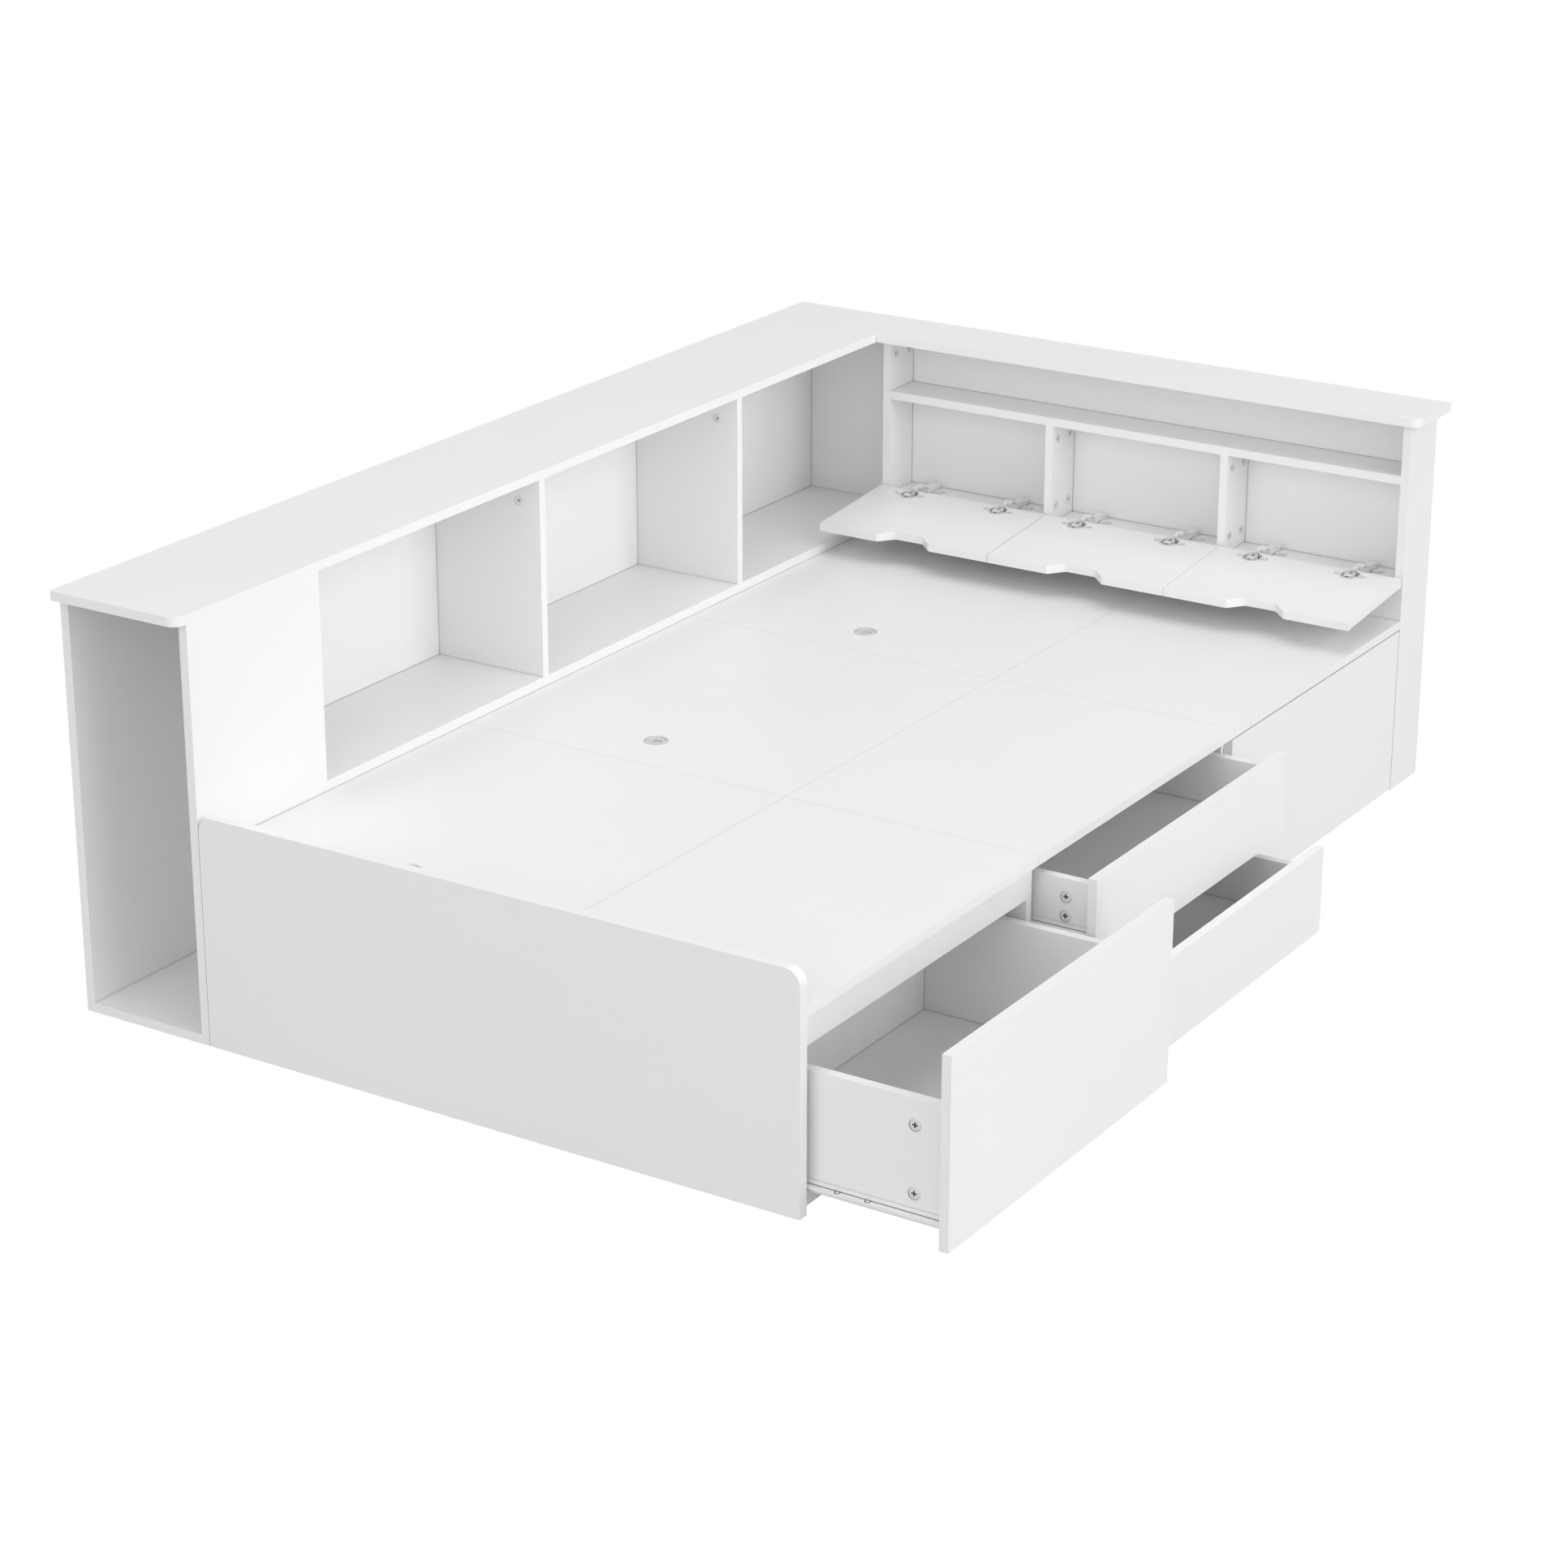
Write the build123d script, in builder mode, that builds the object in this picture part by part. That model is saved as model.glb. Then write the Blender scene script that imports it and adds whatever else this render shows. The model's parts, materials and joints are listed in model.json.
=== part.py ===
from build123d import *
import os

# Twin platform bed with an L-shaped bookcase, four drawers, three lift-out lids and three
# drop-down flaps. Millimetres. The origin is under the middle of the box round the bed as it
# is stored, with its drawers part open: +X to the drawer side, +Y to the head, +Z up.

os.makedirs("parts", exist_ok=True)

# ---- boards ---------------------------------------------------------------------------
BOARD = 15                  # laminated board
FOOTBOARD_T = 18
THIN = 5                    # back panels and drawer bottoms
FIT_GAP = 0.2               # between boards of one node that are screwed together
SEAM = 2                    # between drawer fronts
DECK_SEAM = 0.5             # between lids and deck panels, all round each lid

# ---- bed frame: x from the bed's bookcase side, y from the footboard's outer face -------
BED_W = 1056                # from the side bookcase to the drawer fronts' outer faces
BED_L = 1955                # from the footboard's outer face to the head bookcase
HEIGHT = 687
SIDE_DEPTH = 245            # side bookcase
HEAD_DEPTH = 108            # head bookcase
OVERALL_L = BED_L + HEAD_DEPTH
TOP_UNDER = HEIGHT - BOARD
TOP_FOOT_LIP = 22           # the top boards stand out past what carries them
TOP_HEAD_LIP = 27
TOP_SIDE_LIP = 24
TOP_RADIUS = 20

# ---- deck and base ----------------------------------------------------------------------
DECK_TOP = 315
DECK_UNDER = DECK_TOP - BOARD
LONG_SEAM_X = 608.4
CROSS_SEAM_Y = (663.5, 1310.5)
DIVIDER_Y = (654.5, 1295)   # foot side faces of the two dividers under the deck
PARTITION_X = 600.5
FRONT_X = BED_W - BOARD     # inner faces of the drawer fronts when shut
SHUT_GAP = 0.4              # left there by the drawers' stops
CARCASS_X = FRONT_X - SHUT_GAP  # front edges of the carcass
FOOTBOARD_H = 374
FOOTBOARD_RADIUS = 25
BATTEN = 20
STORAGE_FLOOR_Z = 10

# ---- drawers ----------------------------------------------------------------------------
BOX_DEPTH = 398
SLIDE_SPACE = 13            # between a drawer side and the bay wall
FRONT_BOTTOM = 3
FRONT_TOP = DECK_UNDER - 3
TALL_BOX = (33, 216)
LOW_BOX = (33, 122)
HIGH_BOX = (191, 280)
SPLIT_Z = 151.5             # between the two fronts of the middle bay
FRONT_SEAM_Y = (663.5, 1303.5)
OPEN_FOOT = 225
OPEN_HIGH = 97
OPEN_LOW = 170
OPEN_HEAD = 0

# ---- side bookcase ----------------------------------------------------------------------
NICHE_L = 288
SIDE_FLOOR_TOP = 332
SIDE_DIVIDER_Y = (872, 1461)
SIDE_BACK_X = -220.6        # outer face of its back panels

# ---- head bookcase and flaps --------------------------------------------------------------
HEAD_FLOOR_TOP = 379
HEAD_SHELF_TOP = 575
HEAD_BACK_Y = 2037
FLAP_PITCH = 352
FLAP_SEAM = 1.2
FLAP_L = 217
FLAP_OPEN = 95              # degrees from shut
FLAP_AXIS = (1944.0, 384.6)  # y, z of the hinge pins
FLAP_SHUT = (1952.4, 378)   # y of the shut flap's inner face, z of its lower edge
NOTCH_W = 108
NOTCH_FLOOR_W = 58
NOTCH_DEPTH = 24
NOTCH_RADIUS = 8

# ---- concealed hinges ---------------------------------------------------------------------
HINGE_X = (75, 263.5)       # from each flap's left edge
CUP_R = 17.5
CUP_WALL = 1
CUP_DEPTH = 12
CUP_EDGE = 20.5             # from the cup's centre to the flap's hinged edge
PIN_R = 1.0
PIN_PLAY = 0.05
EYE_R = 1.9
NOSE_HALF_W = 3.5
ARM_HALF_W = 7

# ---- lid pulls ----------------------------------------------------------------------------
PULL_X = 301
PULL_Y = (116, 762, 1404)
PULL_R = 20                 # flange
PULL_CUP_R = 18
PULL_CUP_DEPTH = 8
RECESS_R = 16.8
RECESS_DEPTH = 6.5
RING_R = 14
RING_WIDTH = 3.5
RING_T = 2.4
RING_AXIS_X = 13            # from the pull's centre
RING_Z = DECK_TOP - 1.4     # middle of the lying ring
RING_PIN_R = 0.8
PULL_PIN_HALF = 11.2        # half the length of that pin
BARREL_HALF = 5

# ---- fittings -----------------------------------------------------------------------------
CAM_R = 7.5
CAM_T = 1.2

# The box round the bed, which sets the origin.
BED_X = -(BED_W + OPEN_FOOT - SIDE_DEPTH) / 2
FOOT_Y = -(OVERALL_L - TOP_FOOT_LIP) / 2


def level(z):
    """A horizontal plane at height z, with its x and y in the bed frame."""
    return Plane(origin=(BED_X, FOOT_Y, z), x_dir=(1, 0, 0), z_dir=(0, 0, 1))


def facing_side(x):
    """An upright plane at x that faces +X: its own x is the bed's y, its own y is z."""
    return Plane(origin=(BED_X + x, FOOT_Y, 0), x_dir=(0, 1, 0), z_dir=(1, 0, 0))


def facing_foot(y):
    """An upright plane at y that faces the foot: its own x is the bed's x, its own y is z."""
    return Plane(origin=(BED_X, FOOT_Y + y, 0), x_dir=(1, 0, 0), z_dir=(0, -1, 0))


def board(x, y, z):
    """Adds a flat board to the open part, filling the spans x, y and z in the bed frame."""
    with BuildSketch(level(z[0])) as outline:
        with Locations(((x[0] + x[1]) / 2, (y[0] + y[1]) / 2)):
            Rectangle(x[1] - x[0], y[1] - y[0])
    extrude(outline.sketch, amount=z[1] - z[0])


def disc(plane, centre, radius, thickness, mode=Mode.ADD):
    """Adds or cuts a disc in the open part, standing on a plane."""
    with BuildSketch(plane) as outline:
        with Locations(centre):
            Circle(radius)
    extrude(outline.sketch, amount=thickness, mode=mode)


def save(piece, name):
    """Labels a finished part and writes its STEP file."""
    piece.part.label = name
    export_step(piece.part, f"parts/{name}.step")


# ==== side bookcase ==========================================================================
with BuildPart() as side_top_board:
    with BuildSketch(level(TOP_UNDER)):
        with Locations((-SIDE_DEPTH / 2, (OVERALL_L - TOP_FOOT_LIP) / 2)):
            Rectangle(SIDE_DEPTH, OVERALL_L + TOP_FOOT_LIP)
    extrude(amount=BOARD)
    foot_corners = side_top_board.edges().filter_by(Axis.Z).group_by(Axis.Y)[0].sort_by(Axis.X)
    fillet(foot_corners[1], TOP_RADIUS)
    foot_corners = side_top_board.edges().filter_by(Axis.Z).group_by(Axis.Y)[0].sort_by(Axis.X)
    fillet(foot_corners[0], BOARD / 3)
save(side_top_board, "side_top_board")

with BuildPart() as niche_wall_panel:
    board((-SIDE_DEPTH, BOARD - SIDE_DEPTH), (0, NICHE_L), (0, TOP_UNDER))
save(niche_wall_panel, "niche_wall_panel")

with BuildPart() as niche_front_panel:
    board((-BOARD, 0), (0, NICHE_L), (0, TOP_UNDER))
save(niche_front_panel, "niche_front_panel")

with BuildPart() as niche_bottom_board:
    board((BOARD - SIDE_DEPTH, -BOARD), (0, NICHE_L), (0, BOARD))
save(niche_bottom_board, "niche_bottom_board")

with BuildPart() as side_divider_foot:
    board((-SIDE_DEPTH, 0), (NICHE_L, NICHE_L + BOARD), (0, TOP_UNDER))
save(side_divider_foot, "side_divider_foot")

with BuildPart() as side_end_panel:
    board((-SIDE_DEPTH, 0), (OVERALL_L - BOARD, OVERALL_L), (0, TOP_UNDER))
save(side_end_panel, "side_end_panel")

side_bay_y = (NICHE_L + BOARD, OVERALL_L - BOARD)

with BuildPart() as side_floor_board:
    board((-SIDE_DEPTH, 0), side_bay_y, (SIDE_FLOOR_TOP - BOARD, SIDE_FLOOR_TOP))
save(side_floor_board, "side_floor_board")

with BuildPart() as side_lower_panel:
    board((-BOARD, 0), side_bay_y, (0, SIDE_FLOOR_TOP - BOARD))
save(side_lower_panel, "side_lower_panel")

with BuildPart() as side_dividers:
    for divider_y in SIDE_DIVIDER_Y:
        board((-SIDE_DEPTH, 0), (divider_y, divider_y + BOARD), (SIDE_FLOOR_TOP, TOP_UNDER))
save(side_dividers, "side_dividers")

with BuildPart() as side_lower_supports:
    for divider_y in SIDE_DIVIDER_Y:
        board((-SIDE_DEPTH, -BOARD), (divider_y, divider_y + BOARD), (0, SIDE_FLOOR_TOP - BOARD))
save(side_lower_supports, "side_lower_supports")

compartment_ends = [side_bay_y[0]]
for divider_y in SIDE_DIVIDER_Y:
    compartment_ends += [divider_y, divider_y + BOARD]
compartment_ends.append(side_bay_y[1])
with BuildPart() as side_back_panels:
    for start, end in zip(compartment_ends[::2], compartment_ends[1::2]):
        board((SIDE_BACK_X, SIDE_BACK_X + THIN), (start, end), (SIDE_FLOOR_TOP, TOP_UNDER))
save(side_back_panels, "side_back_panels")

# ==== head bookcase ==========================================================================
head_y = (BED_L, OVERALL_L)
head_inside_x = (BOARD, BED_W - BOARD)

with BuildPart() as head_left_panel:
    board((0, BOARD), head_y, (0, TOP_UNDER))
save(head_left_panel, "head_left_panel")

with BuildPart() as head_right_panel:
    board((BED_W - BOARD, BED_W), head_y, (0, TOP_UNDER))
save(head_right_panel, "head_right_panel")

with BuildPart() as head_top_board:
    board((0, BED_W + TOP_SIDE_LIP), (BED_L - TOP_HEAD_LIP, OVERALL_L), (TOP_UNDER, HEIGHT))
    free_corner = head_top_board.edges().filter_by(Axis.Z).group_by(Axis.X)[-1].sort_by(Axis.Y)[0]
    fillet(free_corner, TOP_RADIUS)
save(head_top_board, "head_top_board")

with BuildPart() as head_shelf:
    board(head_inside_x, (BED_L, HEAD_BACK_Y), (HEAD_SHELF_TOP - BOARD, HEAD_SHELF_TOP))
save(head_shelf, "head_shelf")

with BuildPart() as head_dividers:
    for count in (1, 2):
        middle = count * FLAP_PITCH
        board((middle - BOARD / 2, middle + BOARD / 2), (BED_L, HEAD_BACK_Y),
              (HEAD_FLOOR_TOP, HEAD_SHELF_TOP - BOARD))
save(head_dividers, "head_dividers")

with BuildPart() as head_bottom_board:
    board(head_inside_x, head_y, (HEAD_FLOOR_TOP - BOARD, HEAD_FLOOR_TOP))
save(head_bottom_board, "head_bottom_board")

with BuildPart() as head_back_panel:
    board(head_inside_x, (HEAD_BACK_Y, HEAD_BACK_Y + THIN), (HEAD_FLOOR_TOP, TOP_UNDER))
save(head_back_panel, "head_back_panel")

with BuildPart() as head_front_panel:
    board(head_inside_x, (BED_L, BED_L + BOARD), (0, HEAD_FLOOR_TOP - BOARD))
save(head_front_panel, "head_front_panel")

# ==== footboard and base =====================================================================
with BuildPart() as footboard:
    board((0.8, BED_W), (0, FOOTBOARD_T), (0, FOOTBOARD_H))
    fillet(footboard.edges().filter_by(Axis.Y).group_by(Axis.Z)[-1], FOOTBOARD_RADIUS)
save(footboard, "footboard")

with BuildPart() as centre_partition:
    board((PARTITION_X, PARTITION_X + BOARD), (FOOTBOARD_T, BED_L), (0, DECK_UNDER))
save(centre_partition, "centre_partition")

storage_x = (0, PARTITION_X)
drawer_bay_x = (PARTITION_X + BOARD, CARCASS_X)
with BuildPart() as bay_dividers:
    for divider_y in DIVIDER_Y:
        for span in (storage_x, drawer_bay_x):
            board(span, (divider_y, divider_y + BOARD), (0, DECK_UNDER))
save(bay_dividers, "bay_dividers")

# The three bays, from the foot: each is the free span between its two walls.
BAYS = (
    (FOOTBOARD_T, DIVIDER_Y[0]),
    (DIVIDER_Y[0] + BOARD, DIVIDER_Y[1]),
    (DIVIDER_Y[1] + BOARD, BED_L),
)

with BuildPart() as storage_floor_panels:
    for bay in BAYS:
        board(storage_x, bay, (STORAGE_FLOOR_Z, STORAGE_FLOOR_Z + THIN))
save(storage_floor_panels, "storage_floor_panels")

TOP_RAIL = (244, DECK_UNDER)
BOTTOM_RAIL = (0, 30)
rail_x = (CARCASS_X - BOARD, CARCASS_X)
with BuildPart() as front_rails:
    for bay in BAYS:
        board(rail_x, bay, BOTTOM_RAIL)
    for bay in (BAYS[0], BAYS[2]):
        board(rail_x, bay, TOP_RAIL)
save(front_rails, "front_rails")

# Battens carry the lids and deck panels where no divider does.
batten_z = (DECK_UNDER - BATTEN, DECK_UNDER)
cross_battens = (
    (FOOTBOARD_T, FOOTBOARD_T + BATTEN),
    (DIVIDER_Y[1] + BOARD, DIVIDER_Y[1] + BOARD + BATTEN),
    (BED_L - BATTEN, BED_L),
)
side_battens = (
    (BAYS[0][0] + BATTEN + 1, BAYS[0][1]),
    BAYS[1],
    (BAYS[2][0] + BATTEN + 1, BAYS[2][1] - BATTEN - 1),
)
with BuildPart() as deck_battens:
    for span in cross_battens:
        board(storage_x, span, batten_z)
        board((drawer_bay_x[0], rail_x[0]), span, batten_z)
    for span in side_battens:
        board((0, BATTEN), span, batten_z)
save(deck_battens, "deck_battens")

# ==== deck ===================================================================================
fixed_x = (LONG_SEAM_X + DECK_SEAM / 2, BED_W)
lid_x = (DECK_SEAM, LONG_SEAM_X - DECK_SEAM / 2)
deck_ends = (FOOTBOARD_T, CROSS_SEAM_Y[0], CROSS_SEAM_Y[1], BED_L)
with BuildPart() as fixed_deck_panels:
    for count in range(3):
        start = deck_ends[count] + (DECK_SEAM / 2 if count > 0 else 0)
        end = deck_ends[count + 1] - (DECK_SEAM / 2 if count < 2 else 0)
        board(fixed_x, (start, end), (DECK_UNDER, DECK_TOP))
save(fixed_deck_panels, "fixed_deck_panels")

# ==== lift-out lids and their ring pulls ======================================================
LID_NAMES = ("foot", "middle", "head")

for count, place in enumerate(LID_NAMES):
    centre = (PULL_X, PULL_Y[count])
    start = deck_ends[count] + (DECK_SEAM / 2 if count > 0 else DECK_SEAM)
    end = deck_ends[count + 1] - (DECK_SEAM / 2 if count < 2 else DECK_SEAM)
    with BuildPart() as lid:
        board(lid_x, (start, end), (DECK_UNDER, DECK_TOP))
        disc(level(DECK_UNDER), centre, PULL_CUP_R + FIT_GAP, BOARD, Mode.SUBTRACT)
    save(lid, f"lid_{place}")

    axis_x = centre[0] + RING_AXIS_X
    with BuildPart() as pull_plate:
        disc(level(DECK_TOP - PULL_CUP_DEPTH), centre, PULL_CUP_R, PULL_CUP_DEPTH)
        disc(level(DECK_TOP), centre, PULL_R, 1)
        disc(level(DECK_TOP - RECESS_DEPTH), centre, RECESS_R, RECESS_DEPTH + 1, Mode.SUBTRACT)
        # The pin that the ring turns on is held in both walls of the recess.
        with BuildSketch(facing_foot(centre[1] + PULL_PIN_HALF)) as pin_end:
            with Locations((axis_x, RING_Z)):
                Circle(RING_PIN_R)
        extrude(pin_end.sketch, amount=2 * PULL_PIN_HALF)
    save(pull_plate, f"lid_{place}_pull_plate")

    with BuildPart() as pull_ring:
        disc(level(RING_Z - RING_T / 2), centre, RING_R, RING_T)
        with BuildSketch(facing_foot(centre[1] + BARREL_HALF)) as barrel:
            with Locations((axis_x, RING_Z)):
                Circle(2 * RING_PIN_R)
        extrude(barrel.sketch, amount=2 * BARREL_HALF)
        disc(level(RING_Z - RING_T), centre, RING_R - RING_WIDTH, 2 * RING_T, Mode.SUBTRACT)
        with BuildSketch(facing_foot(centre[1] + RING_R)) as pin_hole:
            with Locations((axis_x, RING_Z)):
                Circle(RING_PIN_R + PIN_PLAY)
        extrude(pin_hole.sketch, amount=2 * RING_R, mode=Mode.SUBTRACT)
    save(pull_ring, f"lid_{place}_pull_ring")

# ==== drop-down flaps, lying open on their hinges =============================================
# A flap's own frame: x from its left edge, y = 0 at its hinged edge and negative towards its
# free edge, z = 0 on the face that is inside when it is shut.
FLAP_NAMES = ("left", "middle", "right")
flap_w = FLAP_PITCH - FLAP_SEAM / 2
shut_corner = Vector(0, FLAP_SHUT[0] - FLAP_AXIS[0], FLAP_SHUT[1] - FLAP_AXIS[1])
open_corner = shut_corner.rotate(Axis.X, FLAP_OPEN)
inner_normal = Vector(0, 1, 0).rotate(Axis.X, FLAP_OPEN)
pin_y = -FLAP_AXIS[1] + FLAP_SHUT[1]
pin_z = FLAP_AXIS[0] - FLAP_SHUT[0]
cup_y = -CUP_EDGE
WING_HALF = 30
WING_W = 11
WING_T = 1
SCREW_X = 24
SCREW_R = 3.6


def flap_plane(left, depth=0.0):
    """The frame of an open flap whose left edge is at x, moved depth under its inner face."""
    corner = Vector(BED_X + left, FOOT_Y + FLAP_AXIS[0], FLAP_AXIS[1]) + open_corner
    return Plane(origin=corner - inner_normal * depth, x_dir=(1, 0, 0), z_dir=inner_normal)


for count, place in enumerate(FLAP_NAMES):
    left = count * FLAP_PITCH + FLAP_SEAM / 2 - 0.5 * (count == 0)
    width = flap_w - 0.5 * (count == 2)
    cups = [(x, cup_y) for x in HINGE_X]
    with BuildPart() as flap:
        with BuildSketch(flap_plane(left, BOARD)):
            with Locations((width / 2, -FLAP_L / 2)):
                Rectangle(width, FLAP_L)
            with BuildLine() as notch:
                Polyline(
                    (width / 2 - NOTCH_W / 2, -FLAP_L),
                    (width / 2 - NOTCH_FLOOR_W / 2, NOTCH_DEPTH - FLAP_L),
                    (width / 2 + NOTCH_FLOOR_W / 2, NOTCH_DEPTH - FLAP_L),
                    (width / 2 + NOTCH_W / 2, -FLAP_L),
                    close=True,
                )
            make_face(mode=Mode.SUBTRACT)
        extrude(amount=BOARD)
        notch_edges = flap.edges().filter_by(lambda edge: abs(edge.length - BOARD) < 0.01)
        notch_edges = notch_edges.filter_by(
            lambda edge: abs(edge.center().X - BED_X - left - width / 2) < NOTCH_W / 2 + 1
        )
        fillet(notch_edges, NOTCH_RADIUS)
        for cup_centre in cups:
            disc(flap_plane(left, CUP_DEPTH), cup_centre, CUP_R + FIT_GAP / 2, BOARD, Mode.SUBTRACT)
    save(flap, f"flap_{place}")

    with BuildPart() as hinge_cups:
        for cup_centre in cups:
            disc(flap_plane(left, CUP_DEPTH), cup_centre, CUP_R, CUP_DEPTH)
            with BuildSketch(flap_plane(left)) as wings:
                with Locations(cup_centre):
                    Circle(CUP_R + 0.8)
                    RectangleRounded(2 * WING_HALF, WING_W, WING_W / 2 - 0.5)
            extrude(wings.sketch, amount=WING_T)
            for screw_x in (-SCREW_X, SCREW_X):
                screw_centre = (cup_centre[0] + screw_x, cup_centre[1])
                disc(flap_plane(left, -WING_T), screw_centre, SCREW_R, 0.8)
            disc(flap_plane(left, CUP_DEPTH - CUP_WALL), cup_centre, CUP_R - CUP_WALL,
                 CUP_DEPTH + WING_T, Mode.SUBTRACT)
            # The hinge pin crosses the cup beside its rear wall.
            pin_half = CUP_R / 2 + 0.35
            pin_start = Vector(BED_X + left + cup_centre[0] - pin_half,
                               FOOT_Y + FLAP_AXIS[0], FLAP_AXIS[1])
            with BuildSketch(Plane(origin=pin_start, x_dir=(0, 1, 0), z_dir=(1, 0, 0))) as pin_end:
                Circle(PIN_R)
            extrude(pin_end.sketch, amount=2 * pin_half)
    save(hinge_cups, f"flap_{place}_hinge_cups")

# ==== hinge arms on the head bookcase's bottom board ===========================================
ARM_REAR_Y = 2030
PLATE_Y = 2007
PLATE_HALF_W = 27
PLATE_HALF_L = 7
PLATE_T = 2
NECK_TOP = 399.5
NECK_UNDER = 396.5
NOSE_Y = (FLAP_AXIS[0] - 1.6, FLAP_AXIS[0] + 0.6)
NOSE_END_Y = 1958
arm_outline = (
    (ARM_REAR_Y, HEAD_FLOOR_TOP),
    (ARM_REAR_Y, 389),
    (1996, 391),
    (1978, NECK_TOP),
    (NOSE_Y[0], NECK_TOP),
    (NOSE_Y[0], FLAP_AXIS[1]),
    (NOSE_Y[1], FLAP_AXIS[1]),
    (NOSE_Y[1], NECK_UNDER),
    (1976, NECK_UNDER),
    (1988, 390),
    (1988, HEAD_FLOOR_TOP),
)
with BuildPart() as hinge_arms:
    for count in range(3):
        left = count * FLAP_PITCH + FLAP_SEAM / 2 - 0.5 * (count == 0)
        for hinge_x in HINGE_X:
            middle = left + hinge_x
            with BuildSketch(facing_side(middle - ARM_HALF_W)) as wide_arm:
                with BuildLine():
                    Polyline(*arm_outline, close=True)
                make_face()
                with Locations(((NOSE_END_Y + NOSE_Y[0]) / 2 - 5, NECK_TOP - 10)):
                    Rectangle(NOSE_END_Y - NOSE_Y[0] + 10, 60, mode=Mode.SUBTRACT)
            extrude(wide_arm.sketch, amount=2 * ARM_HALF_W)
            with BuildSketch(facing_side(middle - NOSE_HALF_W)) as nose:
                with BuildLine():
                    Polyline(*arm_outline, close=True)
                make_face()
                with Locations(FLAP_AXIS):
                    Circle(EYE_R)
                    Circle(PIN_R + PIN_PLAY, mode=Mode.SUBTRACT)
            extrude(nose.sketch, amount=2 * NOSE_HALF_W)
            board((middle - PLATE_HALF_W, middle + PLATE_HALF_W),
                  (PLATE_Y - PLATE_HALF_L, PLATE_Y + PLATE_HALF_L),
                  (HEAD_FLOOR_TOP, HEAD_FLOOR_TOP + PLATE_T))
            for screw_x in (-SCREW_X + 4, SCREW_X - 4):
                disc(level(HEAD_FLOOR_TOP + PLATE_T), (middle + screw_x, PLATE_Y), SCREW_R, 1.2)
save(hinge_arms, "hinge_arms")

# ==== drawers and their slides =================================================================
SLIDE_FRONT_GAP = 17        # the cabinet slide stops behind the rails
SLIDE_REAR_X = 625
CHANNEL = (-2, 24)          # channel's height range about the drawer side's lower edge
WEB_T = 1.2
CHANNEL_REACH = 9.5
LEG_TOP = 17.5              # the drawer rail's leg, up the drawer side
LEDGE_TOP = 10.5            # its ledge, which runs on the cabinet's roller
LEDGE_LIP = 4               # depth of the ledge's turned-down edge
LEDGE_REACH = 3             # from the bay wall to that edge
ROLLER_R = 7
ROLLER_PLAY = 0.4
ROLLER_SPAN = (4.7, 9.5)    # from the bay wall
AXLE_R = 2.3
RAIL_T = 1.5
RAIL_FOOT = 12
FRONT_ROLLER_X = 1012
REAR_ROLLER_X = FRONT_X - BOX_DEPTH + 12
drawer_x = (FRONT_X - BOX_DEPTH, FRONT_X)


def from_wall(bay, side, near, far):
    """The y span between two distances from one wall of a bay, 0 its foot wall, 1 its head wall."""
    if side == 0:
        return (bay[0] + near, bay[0] + far)
    return (bay[1] - far, bay[1] - near)


def roller(bay, side, x, z):
    """Adds a slide's roller to the open part, standing beside one wall of a bay."""
    y = from_wall(bay, side, *ROLLER_SPAN)
    disc(facing_foot(y[1]), (x, z), ROLLER_R, y[1] - y[0])


DRAWERS = (
    ("foot", BAYS[0], TALL_BOX, (FRONT_BOTTOM, FRONT_TOP), 0, OPEN_FOOT),
    ("mid_upper", BAYS[1], HIGH_BOX, (SPLIT_Z + 1.5, FRONT_TOP), 1, OPEN_HIGH),
    ("mid_lower", BAYS[1], LOW_BOX, (FRONT_BOTTOM, SPLIT_Z - 1.5), 1, OPEN_LOW),
    ("head", BAYS[2], TALL_BOX, (FRONT_BOTTOM, FRONT_TOP), 2, OPEN_HEAD),
)
front_seams = (FOOTBOARD_T + 1.5, *FRONT_SEAM_Y, BED_L - 1)

with BuildPart() as cabinet_slides:
    for _, bay, box_z, _, _, _ in DRAWERS:
        low, high = box_z[0] + CHANNEL[0], box_z[0] + CHANNEL[1]
        channel_x = (SLIDE_REAR_X, CARCASS_X - SLIDE_FRONT_GAP)
        for side in (0, 1):
            board(channel_x, from_wall(bay, side, 0, WEB_T), (low, high))
            for flange in ((low, low + WEB_T), (high - WEB_T, high)):
                board(channel_x, from_wall(bay, side, WEB_T, CHANNEL_REACH), flange)
            roller_z = box_z[0] + LEDGE_TOP - RAIL_T - ROLLER_PLAY - ROLLER_R
            roller(bay, side, FRONT_ROLLER_X, roller_z)
            disc(facing_foot(from_wall(bay, side, 0, ROLLER_SPAN[1])[1]),
                 (FRONT_ROLLER_X, roller_z), AXLE_R, ROLLER_SPAN[1])
save(cabinet_slides, "cabinet_slides")

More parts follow.
